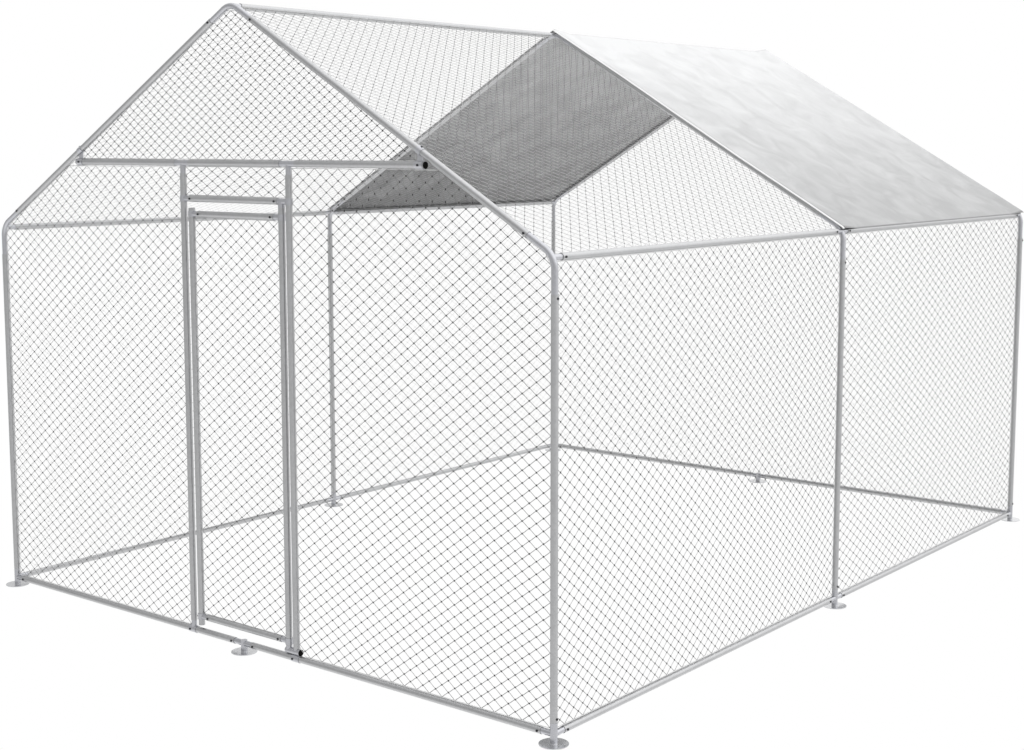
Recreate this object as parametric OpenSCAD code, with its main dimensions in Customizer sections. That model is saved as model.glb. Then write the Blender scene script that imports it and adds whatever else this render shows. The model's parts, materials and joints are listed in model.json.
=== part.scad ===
// Walk-in chicken run: three gable frames of plugged steel tubes, a hinged door, wire nets and a roof tarp.
// Millimetres, +Z up, origin on the ground in the middle of the run, door on the -Y side.

/* [Frame] */
// Width between the axes of the left and right posts
run_width = 3000; // [2200:10:4000]
// Length of one bay, from one gable frame to the next
bay_length = 1962; // [1200:1:2500]
// Height where the axis of a post would meet the axis of a rafter
eave_height = 1594; // [1500:1:2200]
// Slope of the roof in degrees
roof_pitch = 30; // [25:1:35]
// Height of the base rails' axis above the ground
rail_height = 35; // [30:0.5:60]

/* [Tubes] */
// Outside diameter of every tube
tube_d = 25; // [20:0.5:32]
// Wall of every tube
tube_wall = 1; // [0.8:0.1:2]
// Radial room of a connector inside a tube
plug_room = 0.5; // [0.2:0.1:1]
// Wall of a connector
stub_wall = 1.2; // [0.8:0.1:2]
// Length of a connector inside a tube
stub_depth = 40; // [25:1:60]
// Distance of a screw from the end of its tube
screw_inset = 12; // [8:1:20]

/* [Bends] */
// Radius of the elbows and apex bends, at their axis
bend_r = 80; // [50:1:120]
// Distance of the posts' and rafters' ends from the corner of their axes
leg_reach = 123; // [100:1:160]
// Distance of the ridge and eave rails' ends from the plane of a gable frame
rail_reach = 45; // [30:1:80]

/* [Feet] */
// Diameter of a foot plate
foot_d = 100; // [60:1:140]
// Thickness of a foot plate
foot_t = 3; // [2:0.5:6]
// Height of the posts' lower ends above the base rails' axis
post_rise = 39; // [20:1:60]
// Distance of the base rails' ends from the axis of a foot
base_reach = 48; // [30:1:80]

/* [Doorway] */
// Distance of the right jamb's axis from the middle
jamb_x = 293; // [240:1:420]
// Height of the crossbar's axis
crossbar_z = 1873; // [1700:1:2050]
// Distance of each end of the crossbar from the middle
crossbar_end = 955; // [600:1:1100]
// Distance of the tubes' ends from the axes at a crossbar tee
tee_reach = 40; // [25:1:60]
// Height of the header's axis
header_z = 1737; // [1500:1:1800]
// Outside diameter of a sleeve on a tube
sleeve_d = 29; // [26:0.5:38]
// Length of a sleeve on a jamb or a stile
sleeve_l = 24; // [22:1:30]
// Length of a sleeve on the sill
sill_sleeve_l = 40; // [30:1:60]
// Distance of a tube's end from the axis at a short sleeve tee
short_reach = 37; // [20:1:60]
// Distance of a tube's end from the axis at a long sleeve tee
long_reach = 55; // [45:1:80]
// Length of a crossbar clamp's band on the crossbar
band_l = 36; // [24:1:50]
// Distance of a crossbar clamp's band from the end of the crossbar
clamp_back = 4; // [1:0.5:12]
// Thickness of a crossbar clamp's web
web_t = 4; // [2:0.5:8]

/* [Door] */
// Distance from the hinge stile's axis to the jamb beside it
hinge_gap = 40; // [34:1:60]
// Distance from the hinge stile's axis to the latch stile's axis
leaf_w = 500; // [350:1:620]
// Distance from the latch stile's axis to the jamb beside it
latch_gap = 46; // [34:1:60]
// Height of the top rail's axis
leaf_top_z = 1679; // [1400:1:1700]
// Height of the bottom rail's axis
leaf_bottom_z = 95; // [90:1:160]
// Length of the latch stile above the top rail's axis
stile_above = 23; // [14:1:34]
// Length of the latch stile below the bottom rail's axis
stile_below = 35; // [14:1:40]
// Height of the collar under the hinge stile
collar_h = 6; // [3:0.5:10]
// Height of the collar over the hinge stile, below the header's branch
head_collar_h = 12; // [6:0.5:20]
// Length of the lower hinge barrel past the jamb
barrel_past = 9; // [5:1:20]
// Radial running room of a hinge pin in the hinge stile
pin_room = 0.05; // [0.02:0.01:0.1]
// Length of a hinge pin inside the hinge stile
pin_depth = 38; // [20:1:60]

/* [Screws and plugs] */
// Width of a screw head across its corners
screw_head_d = 9; // [6:0.5:12]
// Height of a screw head
screw_head_h = 2.5; // [1.5:0.1:4]
// Diameter of a screw's shank
screw_d = 4; // [3:0.1:5]
// Length of a screw's shank
screw_l = 6; // [5:0.5:12]
// Thickness of an end plug's rim
plug_t = 2; // [1:0.5:4]
// Length of an end plug inside its tube
plug_l = 10; // [6:1:20]

/* [Nets] */
// Width of one gap of the net, tip to tip
gap_w = 560; // [300:10:900]
// Height of one gap of the net, tip to tip
gap_h = 396; // [200:1:700]
// Width of the strand between two gaps
strand_w = 4; // [2:0.5:20]
// Width of the net's edge
hem_w = 6; // [2:0.5:20]
// Thickness of the net
net_t = 2; // [1:0.5:6]

/* [Tarp] */
// Thickness of the tarp
tarp_t = 1; // [1:0.5:5]
// Distance from the rafters' axes to the front and rear edges of the tarp
tarp_inset = 14; // [13.5:0.5:60]

/* [Hidden] */
$fn = 48;
// Room between pieces that only lie against each other
room = 0.3;
// Overlap that makes a cut pass clear through a face
cut = 1;
// Room of a screw's shank in its hole
screw_room = 0.2;
// Extra radius of a bar where it is bent, and length of its legs inside the bend
swell = 0.3;
lap = 5;

tube_r = tube_d / 2;
bore_d = tube_d - 2 * tube_wall;
stub_d = bore_d - 2 * plug_room;
stub_bore_d = stub_d - 2 * stub_wall;
// A branch is a little thinner than the bar that it leaves
branch_d = stub_d - 1;
branch_bore_d = branch_d - 2 * stub_wall;
sleeve_bore_d = tube_d + 2 * room;
sleeve_r = sleeve_d / 2;
pin_d = bore_d - 2 * pin_room;

half_w = run_width / 2;
ridge_height = eave_height + half_w * tan(roof_pitch);
front_y = -bay_length;
mid_y = 0;
rear_y = bay_length;

eave_turn = 90 - roof_pitch;
apex_turn = 2 * roof_pitch;
// Distance of a bend's middle from the corner of its legs' axes
function bend_sag(turn) = bend_r / cos(turn / 2) - bend_r;
// Direction from the corner of the axes at the right eave into the bend
eave_in = [-cos(45 - roof_pitch / 2), -sin(45 - roof_pitch / 2)];
eave_rail_x = half_w + eave_in[0] * bend_sag(eave_turn);
eave_rail_z = eave_height + eave_in[1] * bend_sag(eave_turn);
ridge_rail_z = ridge_height - bend_sag(apex_turn);
// How far the ridge rail lies under the plane of the rafters' axes
rail_drop = bend_sag(apex_turn) * cos(roof_pitch);
post_start_z = rail_height + post_rise;

hinge_x = jamb_x - hinge_gap;
latch_x = hinge_x - leaf_w;
left_jamb_x = latch_x - latch_gap;
function jamb_at(side) = side > 0 ? jamb_x : left_jamb_x;
barrel_z = rail_height + tube_d + 2 * room;
barrel_end_x = jamb_x + tube_r + barrel_past;
barrel_start_x = hinge_x - tube_r;
hinge_foot_top_z = barrel_z + tube_r;
collar_top_z = hinge_foot_top_z + collar_h;
head_collar_z = header_z - stub_d / 2 - head_collar_h;
hinge_stile_bottom_z = collar_top_z + room;
hinge_stile_top_z = head_collar_z - room;
latch_bottom_z = leaf_bottom_z - stile_below;
latch_top_z = leaf_top_z + stile_above;
right_jamb_z = hinge_foot_top_z + room;
left_jamb_z = rail_height + short_reach;

steel = [0.62, 0.63, 0.65];
zinc = [0.66, 0.67, 0.72];
black = [0.05, 0.05, 0.05];
wire = [0.55, 0.56, 0.57];
tarp_grey = [0.72, 0.73, 0.74];

function unit(v) = v / norm(v);

// A member is [start, end, direction that its screws face, distances of its screws from its start]
function member(a, b, face, spots) = [a, b, face, spots];
function both_ends(a, b) = [screw_inset, norm(b - a) - screw_inset];
function screwed(a, b, face) = member(a, b, face, both_ends(a, b));

function post(side, y) =
    screwed([side * half_w, y, post_start_z], [side * half_w, y, eave_height - leg_reach], [side, 0, 0]);
function up_slope(side) = [-side * cos(roof_pitch), 0, sin(roof_pitch)];
function roof_out(side) = [side * sin(roof_pitch), 0, cos(roof_pitch)];
function rafter(side, y) =
    screwed([side * half_w, y, eave_height] + up_slope(side) * leg_reach,
            [0, y, ridge_height] - up_slope(side) * leg_reach,
            y == mid_y ? roof_out(side) : [0, sign(y), 0]);
function lengthwise(x, z, y0, y1, reach, face) =
    screwed([x, y0 + reach, z], [x, y1 - reach, z], face);
function ridge_rail(y0, y1) = lengthwise(0, ridge_rail_z, y0, y1, rail_reach, [0, 0, -1]);
function eave_rail(side, y0, y1) =
    lengthwise(side * eave_rail_x, eave_rail_z, y0, y1, rail_reach, [side, 0, 0]);
function base_rail(side, y0, y1) =
    lengthwise(side * half_w, rail_height, y0, y1, base_reach, [side, 0, 0]);
function sill(end_y, x0, x1) =
    screwed([x0 + base_reach, end_y, rail_height],
            [x1 - base_reach, end_y, rail_height],
            [0, sign(end_y), 0]);

front = [0, -1, 0];
inside = [0, 1, 0];
clamp_x = crossbar_end - band_l / 2 - clamp_back;
crossbar_middle =
    screwed([left_jamb_x + tee_reach, front_y, crossbar_z],
            [jamb_x - tee_reach, front_y, crossbar_z], inside);
// The outer end of a side piece is held by its clamp, at the middle of the clamp's band
function crossbar_side(side) =
    member([jamb_at(side) + side * tee_reach, front_y, crossbar_z],
           [side * crossbar_end, front_y, crossbar_z],
           inside, [screw_inset]);
function jamb(side) =
    screwed([jamb_at(side), front_y, side > 0 ? right_jamb_z : left_jamb_z],
            [jamb_at(side), front_y, crossbar_z - tee_reach], inside);
header =
    screwed([left_jamb_x + short_reach, front_y, header_z], [jamb_x - long_reach, front_y, header_z], front);
function door_rail(z) =
    screwed([latch_x + short_reach, front_y, z], [hinge_x - short_reach, front_y, z], front);
// Screws through a sleeve into the tube inside it
function sleeve_screw(p, along, face) = member(p, p + along, face, [0]);
sill_sleeve_screws = [for (side = [-1, 1])
    sleeve_screw([jamb_at(side) - sill_sleeve_l / 4, front_y, rail_height], [1, 0, 0], front)];
clamp_screws = concat(
    [for (side = [-1, 1]) sleeve_screw([side * clamp_x, front_y, crossbar_z], [1, 0, 0], front)],
    [for (side = [-1, 1]) sleeve_screw(clamp_spot(side), up_slope(side), roof_out(side))]);
// Point on a rafter's axis above a crossbar clamp
function clamp_spot(side) =
    [side * clamp_x, front_y, ridge_height - clamp_x * tan(roof_pitch)];

sides = [-1, 1];
bays = [[front_y, mid_y], [mid_y, rear_y]];
frames = [front_y, mid_y, rear_y];
posts = [for (y = frames) for (side = sides) post(side, y)];
rafters = [for (y = frames) for (side = sides) rafter(side, y)];
ridge_members = [for (b = bays) ridge_rail(b[0], b[1])];
eave_members = [for (side = sides) for (b = bays) eave_rail(side, b[0], b[1])];
base_members = [for (side = sides) for (b = bays) base_rail(side, b[0], b[1])];
front_sill_members = [for (x = [-half_w, 0]) sill(front_y, x, x + half_w)];
rear_sill_members = [for (x = [-half_w, 0]) sill(rear_y, x, x + half_w)];
sill_members = concat(front_sill_members, rear_sill_members);
crossbar_members = [crossbar_middle, crossbar_side(-1), crossbar_side(1)];
doorway_members = concat(crossbar_members, [jamb(-1), jamb(1), header]);
door_members = [door_rail(leaf_top_z), door_rail(leaf_bottom_z)];

// Frame whose Z runs along dir and whose X points to face
module aim(from, dir, face) {
    side = cross(dir, face);
    multmatrix([
        [face[0], side[0], dir[0], from[0]],
        [face[1], side[1], dir[1], from[1]],
        [face[2], side[2], dir[2], from[2]]
    ]) children();
}

module along(m) {
    aim(m[0], unit(m[1] - m[0]), m[2]) children();
}

// Holes for a member's screws, through one wall
module drill(m, reach = tube_d) {
    along(m)
        for (s = m[3])
            translate([0, 0, s])
                rotate([0, 90, 0])
                    cylinder(d = screw_d + 2 * screw_room, h = reach);
}

// A member's screws, with their heads seated at radius seat
module screws(m, seat = tube_r) {
    along(m)
        for (s = m[3])
            translate([seat, 0, s])
                rotate([0, 90, 0])
                    screw();
}

module screw() {
    cylinder(d = screw_head_d, h = screw_head_h, $fn = 6);
    translate([0, 0, -screw_l])
        cylinder(d = screw_d, h = screw_l);
}

module tube(m) {
    length = norm(m[1] - m[0]);
    color(steel)
        difference() {
            along(m)
                difference() {
                    cylinder(d = tube_d, h = length);
                    translate([0, 0, -cut])
                        cylinder(d = bore_d, h = length + 2 * cut);
                }
            drill(m);
        }
}

// Bent bar with the corner of its axes at the origin, opening downwards
module bent_bar(turn, d, leg) {
    half = turn / 2;
    leg_start = bend_r * tan(half) - lap;
    for (s = sides)
        rotate([0, s * (90 + half), 0])
            translate([0, 0, leg_start])
                cylinder(d = d, h = leg - leg_start);
    translate([0, 0, -bend_r / cos(half)])
        rotate([90, 0, 0])
            rotate([0, 0, 90 - half])
                rotate_extrude(angle = turn)
                    translate([bend_r, 0])
                        circle(d = d + 2 * swell);
}

// Straight bar along Y that leaves a bend
module branch(way, d, from, to) {
    rotate([-90 * way, 0, 0])
        translate([0, 0, from])
            cylinder(d = d, h = to - from);
}

// Hollow bend with two legs and a branch to each of the given ways along Y
module bent_connector(turn, ways) {
    leg = leg_reach + stub_depth;
    reach = rail_reach + stub_depth;
    difference() {
        union() {
            bent_bar(turn, stub_d, leg);
            translate([0, 0, -bend_sag(turn)])
                for (w = ways)
                    branch(w, branch_d, 0, reach);
        }
        bent_bar(turn, stub_bore_d, leg + cut);
        translate([0, 0, -bend_sag(turn)])
            for (w = ways)
                branch(w, branch_bore_d, stub_d / 2 + cut, reach + cut);
    }
}

function ways_from(y) = y == front_y ? [1] : y == rear_y ? [-1] : [1, -1];
function bays_from(y) = [for (b = bays) if (b[0] == y || b[1] == y) b];

module elbow(side, y) {
    color(zinc)
        difference() {
            translate([side * half_w, y, eave_height])
                rotate([0, side * (45 + roof_pitch / 2), 0])
                    bent_connector(eave_turn, ways_from(y));
            drill(post(side, y));
            drill(rafter(side, y));
            for (b = bays_from(y))
                drill(eave_rail(side, b[0], b[1]));
        }
}

module apex(y) {
    color(zinc)
        difference() {
            translate([0, y, ridge_height])
                bent_connector(apex_turn, ways_from(y));
            for (side = sides)
                drill(rafter(side, y));
            for (b = bays_from(y))
                drill(ridge_rail(b[0], b[1]));
        }
}

// Round plate and hub, with stubs that point along the given directions and, under a post, one up
module foot(x, y, dirs, post_stub) {
    hub_top = post_stub ? post_start_z - room : rail_height + tube_r;
    reach = base_reach + stub_depth;
    translate([x, y, 0])
        difference() {
            union() {
                cylinder(d = foot_d, h = foot_t);
                cylinder(d = tube_d, h = hub_top);
                if (post_stub)
                    cylinder(d = stub_d, h = post_start_z + stub_depth);
                for (d = dirs)
                    aim([0, 0, rail_height], d, [0, 0, 1])
                        cylinder(d = stub_d, h = reach);
            }
            for (d = dirs)
                aim([0, 0, rail_height], d, [0, 0, 1])
                    translate([0, 0, tube_r + cut])
                        cylinder(d = stub_bore_d, h = reach);
            if (post_stub)
                translate([0, 0, rail_height + tube_r])
                    cylinder(d = stub_bore_d, h = post_start_z + stub_depth);
        }
}

module corner_foot(side, y) {
    inward = [0, -sign(y), 0];
    b = bays_from(y)[0];
    color(zinc)
        difference() {
            foot(side * half_w, y, [[-side, 0, 0], inward], true);
            drill(post(side, y));
            drill(base_rail(side, b[0], b[1]));
            drill(sill(y, side > 0 ? 0 : -half_w, side > 0 ? half_w : 0));
        }
}

module mid_foot(side) {
    color(zinc)
        difference() {
            foot(side * half_w, mid_y, [[0, 1, 0], [0, -1, 0]], true);
            drill(post(side, mid_y));
            for (b = bays)
                drill(base_rail(side, b[0], b[1]));
        }
}

module centre_foot(y) {
    color(zinc)
        difference() {
            foot(0, y, [[1, 0, 0], [-1, 0, 0]], false);
            drill(sill(y, -half_w, 0));
            drill(sill(y, 0, half_w));
        }
}

module tubes(members) {
    for (m = members)
        tube(m);
}

// Tubes that are drilled again for the screws of the sleeves on them
module sleeved_tubes(members, sleeve_screws) {
    color(steel)
        difference() {
            tubes(members);
            for (m = sleeve_screws)
                drill(m);
        }
}

module crossbar_tees() {
    run = tee_reach + stub_depth;
    color(zinc)
        difference() {
            for (side = sides)
                translate([jamb_at(side), front_y, crossbar_z])
                    difference() {
                        union() {
                            rotate([0, 90, 0])
                                cylinder(d = stub_d, h = 2 * run, center = true);
                            rotate([180, 0, 0])
                                cylinder(d = branch_d, h = run);
                        }
                        rotate([0, 90, 0])
                            cylinder(d = stub_bore_d, h = 2 * (run + cut), center = true);
                        rotate([180, 0, 0])
                            translate([0, 0, stub_d / 2 + cut])
                                cylinder(d = branch_bore_d, h = run);
                    }
            drill(crossbar_middle);
            for (side = sides) {
                drill(crossbar_side(side));
                drill(jamb(side));
            }
        }
}

// Sleeve around a tube that runs along axis, with a stub along dir
module sleeve_tee(p, axis, dir, length, reach) {
    difference() {
        union() {
            aim(p, axis, dir)
                cylinder(d = sleeve_d, h = length, center = true);
            aim(p, dir, axis)
                cylinder(d = stub_d, h = reach + stub_depth);
        }
        aim(p, axis, dir)
            cylinder(d = sleeve_bore_d, h = length + 2 * cut, center = true);
        aim(p, dir, axis)
            translate([0, 0, sleeve_r + cut])
                cylinder(d = stub_bore_d, h = reach + stub_depth);
    }
}

module crossbar_clamps() {
    color(zinc)
        for (side = sides)
            difference() {
                crossbar_clamp(side);
                for (m = clamp_screws)
                    drill(m);
            }
}

// A band on the crossbar and a band on the rafter above it, joined by an upright web
module crossbar_clamp(side) {
    spot = clamp_spot(side);
    band = [side * clamp_x, front_y, crossbar_z];
    difference() {
        union() {
            aim(band, [1, 0, 0], [0, 0, 1])
                cylinder(d = sleeve_d, h = band_l, center = true);
            aim(spot, up_slope(side), [0, 1, 0])
                cylinder(d = sleeve_d, h = sleeve_l, center = true);
            translate([side * clamp_x, front_y, (crossbar_z + spot[2]) / 2])
                cube([sleeve_l, web_t, spot[2] - crossbar_z], center = true);
        }
        aim(band, [1, 0, 0], [0, 0, 1])
            cylinder(d = sleeve_bore_d, h = 2 * band_l, center = true);
        aim(spot, up_slope(side), [0, 1, 0])
            cylinder(d = sleeve_bore_d, h = 4 * sleeve_l, center = true);
    }
}

module header_tee() {
    color(zinc)
        difference() {
            sleeve_tee([left_jamb_x, front_y, header_z], [0, 0, 1], [1, 0, 0], sleeve_l, short_reach);
            drill(header);
        }
}

// Sleeve on the right jamb whose arm carries the header and the upper hinge pin
module hinge_head() {
    color(zinc)
        difference() {
            union() {
                sleeve_tee([jamb_x, front_y, header_z], [0, 0, 1], [-1, 0, 0], sleeve_l, long_reach);
                translate([hinge_x, front_y, head_collar_z])
                    cylinder(d = tube_d, h = header_z - head_collar_z);
                translate([hinge_x, front_y, head_collar_z - pin_depth])
                    cylinder(d = pin_d, h = pin_depth + cut);
            }
            translate([jamb_x, front_y, header_z])
                cylinder(d = sleeve_bore_d, h = 2 * sleeve_l, center = true);
            drill(header);
        }
}

module jamb_foot() {
    color(zinc)
        difference() {
            sleeve_tee([left_jamb_x, front_y, rail_height], [1, 0, 0], [0, 0, 1],
                       sill_sleeve_l, short_reach);
            drill(jamb(-1));
            drill(sill_sleeve_screws[0]);
        }
}

// Sleeve on the sill under a plugged barrel that carries the right jamb and the lower hinge pin
module hinge_foot() {
    color(zinc)
        difference() {
            union() {
                translate([jamb_x, front_y, rail_height])
                    rotate([0, 90, 0])
                        cylinder(d = sleeve_d, h = sill_sleeve_l, center = true);
                translate([barrel_start_x, front_y, barrel_z])
                    rotate([0, 90, 0])
                        cylinder(d = tube_d, h = barrel_end_x - barrel_start_x);
                translate([jamb_x, front_y, barrel_z])
                    cylinder(d = stub_d, h = tube_r + stub_depth);
                translate([hinge_x, front_y, barrel_z])
                    cylinder(d = tube_d - cut, h = collar_top_z - barrel_z);
                translate([hinge_x, front_y, barrel_z])
                    cylinder(d = pin_d, h = collar_top_z + pin_depth - barrel_z);
            }
            translate([jamb_x, front_y, rail_height])
                rotate([0, 90, 0])
                    cylinder(d = sleeve_bore_d, h = 2 * sill_sleeve_l, center = true);
            translate([barrel_end_x - plug_l - cut, front_y, barrel_z])
                rotate([0, 90, 0])
                    cylinder(d = bore_d, h = plug_l + 2 * cut);
            drill(jamb(1));
            drill(sill_sleeve_screws[1]);
        }
}

// Plug in the open end of a tube, with its rim outside
module end_plug(p, dir) {
    aim(p, dir, [0, 1, 0]) {
        cylinder(d = tube_d, h = plug_t);
        translate([0, 0, -plug_l])
            cylinder(d = bore_d - 2 * room, h = plug_l);
    }
}

module end_plugs() {
    color(black) {
        for (side = sides)
            end_plug([side * crossbar_end, front_y, crossbar_z], [side, 0, 0]);
        end_plug([barrel_end_x, front_y, barrel_z], [1, 0, 0]);
    }
}

module frame_screws() {
    color(black) {
        for (m = concat(posts, rafters, ridge_members, eave_members, base_members, sill_members))
            screws(m);
        for (m = doorway_members)
            screws(m);
        for (m = concat(sill_sleeve_screws, clamp_screws))
            screws(m, sleeve_r);
    }
}

module door_screws() {
    color(black)
        for (m = door_members)
            screws(m);
}

module stile(x, z0, z1) {
    color(steel)
        translate([x, front_y, z0])
            difference() {
                cylinder(d = tube_d, h = z1 - z0);
                translate([0, 0, -cut])
                    cylinder(d = bore_d, h = z1 - z0 + 2 * cut);
            }
}

module door_tees() {
    color(zinc)
        difference() {
            for (z = [leaf_top_z, leaf_bottom_z]) {
                sleeve_tee([latch_x, front_y, z], [0, 0, 1], [1, 0, 0], sleeve_l, short_reach);
                sleeve_tee([hinge_x, front_y, z], [0, 0, 1], [-1, 0, 0], sleeve_l, short_reach);
            }
            for (m = door_members)
                drill(m);
        }
}

// An edge of a net is [x and y of its outward normal, distance], given by a point, an angle and a retreat
function edge(p, angle, back) = [cos(angle), sin(angle), p[0] * cos(angle) + p[1] * sin(angle) - back];
function meet(a, b) =
    let (det = a[0] * b[1] - a[1] * b[0])
    [(a[2] * b[1] - a[1] * b[2]) / det, (a[0] * b[2] - a[2] * b[0]) / det];
function pulled_in(edges, by) = [for (e = edges) [e[0], e[1], e[2] - by]];
function outline(edges) = [for (i = [0 : len(edges) - 1]) meet(edges[i], edges[(i + 1) % len(edges)])];
function low(points, axis) = min([for (p = points) p[axis]]);
function high(points, axis) = max([for (p = points) p[axis]]);

// Retreat of a net's edge from a tube's axis, and from the axis of a tube with sleeves
net_back = tube_r + room;
sleeve_back = sleeve_r + room;
// Retreat of an edge from an axis that lies off the net's plane, clear of the bends at its ends too
function off_back(back, off) =
    let (rise = max(0, off - net_t / 2))
    max(stub_d / 2 + swell + room, sqrt(max(0, back * back - rise * rise)));
// Distance from a bend's corner to the net's cut corner, clear of the bend
function bend_back(turn) =
    let (leg_line = bend_r - net_back)
    let (inner = bend_r - stub_d / 2 - swell - room)
    let (side_way = sqrt(inner * inner - leg_line * leg_line))
    bend_r / cos(turn / 2) - leg_line * cos(turn / 2) - side_way * sin(turn / 2);

// Diamond net inside convex edges, drawn in the XY plane about Z = 0
module net(edges) {
    inner = outline(pulled_in(edges, hem_w));
    corner = [low(inner, 0), low(inner, 1)];
    size = [high(inner, 0), high(inner, 1)] - corner;
    columns = max(1, round(size[0] / gap_w));
    rows = max(1, round(size[1] / gap_h));
    // Half of the net's step across and up, and half of a gap, which leaves half a strand on each side
    half = [size[0] / columns, size[1] / rows] / 2;
    tip = half - strand_w * norm(half) / 2 * [1 / half[1], 1 / half[0]];
    color(wire)
        linear_extrude(net_t, center = true)
            difference() {
                polygon(outline(edges));
                intersection() {
                    polygon(inner);
                    for (i = [0 : 2 * columns])
                        for (j = [0 : 2 * rows])
                            if ((i + j) % 2 == 1)
                                translate(corner + [i * half[0], j * half[1]])
                                    polygon([[tip[0], 0], [0, tip[1]], [-tip[0], 0], [0, -tip[1]]]);
                }
            }
}

module gable_net(y, edges) {
    translate([0, y, 0])
        rotate([90, 0, 0])
            net(edges);
}

sill_edge = [0, rail_height];
right_eave = [half_w, eave_height];
left_eave = [-half_w, eave_height];
ridge_top = [0, ridge_height];

module front_nets() {
    gable_net(front_y, [
        edge(sill_edge, -90, sleeve_back),
        edge([left_jamb_x, 0], 0, sleeve_back),
        edge([0, crossbar_z], 90, sleeve_back),
        edge(left_eave, 90 + roof_pitch, net_back),
        edge(left_eave, 135 + roof_pitch / 2, bend_back(eave_turn)),
        edge(left_eave, 180, net_back)
    ]);
    gable_net(front_y, [
        edge(sill_edge, -90, sleeve_back),
        edge(right_eave, 0, net_back),
        edge(right_eave, 45 - roof_pitch / 2, bend_back(eave_turn)),
        edge(right_eave, 90 - roof_pitch, net_back),
        edge([0, crossbar_z], 90, sleeve_back),
        edge([jamb_x, 0], 180, sleeve_back),
        edge([barrel_end_x + plug_t, hinge_foot_top_z], 225, room)
    ]);
    gable_net(front_y, [
        edge([0, header_z], -90, net_back),
        edge([jamb_x, 0], 0, net_back),
        edge([0, crossbar_z], 90, net_back),
        edge([left_jamb_x, 0], 180, net_back)
    ]);
    gable_net(front_y, [
        edge([0, crossbar_z], -90, net_back),
        edge([clamp_x - band_l / 2, 0], 0, room),
        edge(ridge_top, 90 - roof_pitch, net_back),
        edge(ridge_top, 90, bend_back(apex_turn)),
        edge(ridge_top, 90 + roof_pitch, net_back),
        edge([band_l / 2 - clamp_x, 0], 180, room)
    ]);
}

module rear_net() {
    gable_net(rear_y, [
        edge(sill_edge, -90, net_back),
        edge(right_eave, 0, net_back),
        edge(right_eave, 45 - roof_pitch / 2, bend_back(eave_turn)),
        edge(right_eave, 90 - roof_pitch, net_back),
        edge(ridge_top, 90, bend_back(apex_turn)),
        edge(left_eave, 90 + roof_pitch, net_back),
        edge(left_eave, 135 + roof_pitch / 2, bend_back(eave_turn)),
        edge(left_eave, 180, net_back)
    ]);
}

module door_net() {
    gable_net(front_y, [
        edge([0, leaf_bottom_z], -90, net_back),
        edge([hinge_x, 0], 0, net_back),
        edge([0, leaf_top_z], 90, net_back),
        edge([latch_x, 0], 180, net_back)
    ]);
}

module both_sides() {
    children();
    mirror([1, 0, 0])
        children();
}

// A wall net hangs halfway between the planes of the base rail and the eave rail
module wall_nets() {
    off = (half_w - eave_rail_x) / 2;
    back = off_back(net_back, off);
    both_sides()
        for (b = bays)
            translate([half_w - off, 0, 0])
                rotate([90, 0, 90])
                    net([
                        edge([0, rail_height], -90, back),
                        edge([b[1], 0], 0, back),
                        edge([0, eave_rail_z], 90, back),
                        edge([b[0], 0], 180, back)
                    ]);
}

// Distances of the rails up a slope, from the corner of the axes at the eave
ridge_rail_up = half_w / cos(roof_pitch) - bend_sag(apex_turn) * sin(roof_pitch);
eave_rail_up = bend_sag(eave_turn) * cos(45 + roof_pitch / 2);
// How far an eave rail lies under the plane of the rafters' axes
eave_drop = bend_sag(eave_turn) * cos(eave_turn / 2);

// A roof net hangs halfway between the planes of the rafters and of the rails
module roof_nets() {
    off = rail_drop / 2;
    back = off_back(net_back, off);
    both_sides()
        for (b = bays)
            aim([half_w, 0, eave_height], [sin(roof_pitch), 0, cos(roof_pitch)], [0, 1, 0])
                translate([0, 0, -off])
                    net([
                        edge([0, eave_rail_up], -90, off_back(net_back, abs(eave_drop - off))),
                        edge([b[1], 0], 0, back),
                        edge([0, ridge_rail_up], 90, back),
                        edge([b[0], 0], 180, b[0] == front_y ? off_back(sleeve_back, off) : back)
                    ]);
}

// Folded sheet over the rear bay, lying on the ridge and eave rails between two rafters
module roof_tarp() {
    lift = tube_r - rail_drop + room;
    low_lift = lift / cos(roof_pitch);
    high_lift = (lift + tarp_t) / cos(roof_pitch);
    end_x = eave_rail_x;
    end_z = ridge_height - end_x * tan(roof_pitch);
    color(tarp_grey)
        translate([0, rear_y - tarp_inset, 0])
            rotate([90, 0, 0])
                linear_extrude(bay_length - 2 * tarp_inset)
                    polygon([
                        [-end_x, end_z + low_lift],
                        [0, ridge_height + low_lift],
                        [end_x, end_z + low_lift],
                        [end_x, end_z + high_lift],
                        [0, ridge_height + high_lift],
                        [-end_x, end_z + high_lift]
                    ]);
}

tube(post(-1, front_y));  // front_left_post
tube(post(1, front_y));  // front_right_post
tube(post(-1, mid_y));  // mid_left_post
tube(post(1, mid_y));  // mid_right_post
tube(post(-1, rear_y));  // rear_left_post
tube(post(1, rear_y));  // rear_right_post
sleeved_tubes([rafter(-1, front_y)], clamp_screws);  // front_left_rafter
sleeved_tubes([rafter(1, front_y)], clamp_screws);  // front_right_rafter
tube(rafter(-1, mid_y));  // mid_left_rafter
tube(rafter(1, mid_y));  // mid_right_rafter
tube(rafter(-1, rear_y));  // rear_left_rafter
tube(rafter(1, rear_y));  // rear_right_rafter
tubes(ridge_members);  // ridge_rails
tubes([eave_members[0], eave_members[1]]);  // left_eave_rails
tubes([eave_members[2], eave_members[3]]);  // right_eave_rails
tubes([base_members[0], base_members[1]]);  // left_base_rails
tubes([base_members[2], base_members[3]]);  // right_base_rails
sleeved_tubes(front_sill_members, sill_sleeve_screws);  // front_sill
tubes(rear_sill_members);  // rear_sill
elbow(-1, front_y);  // front_left_elbow
elbow(1, front_y);  // front_right_elbow
elbow(-1, mid_y);  // mid_left_elbow
elbow(1, mid_y);  // mid_right_elbow
elbow(-1, rear_y);  // rear_left_elbow
elbow(1, rear_y);  // rear_right_elbow
apex(front_y);  // front_apex
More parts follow.
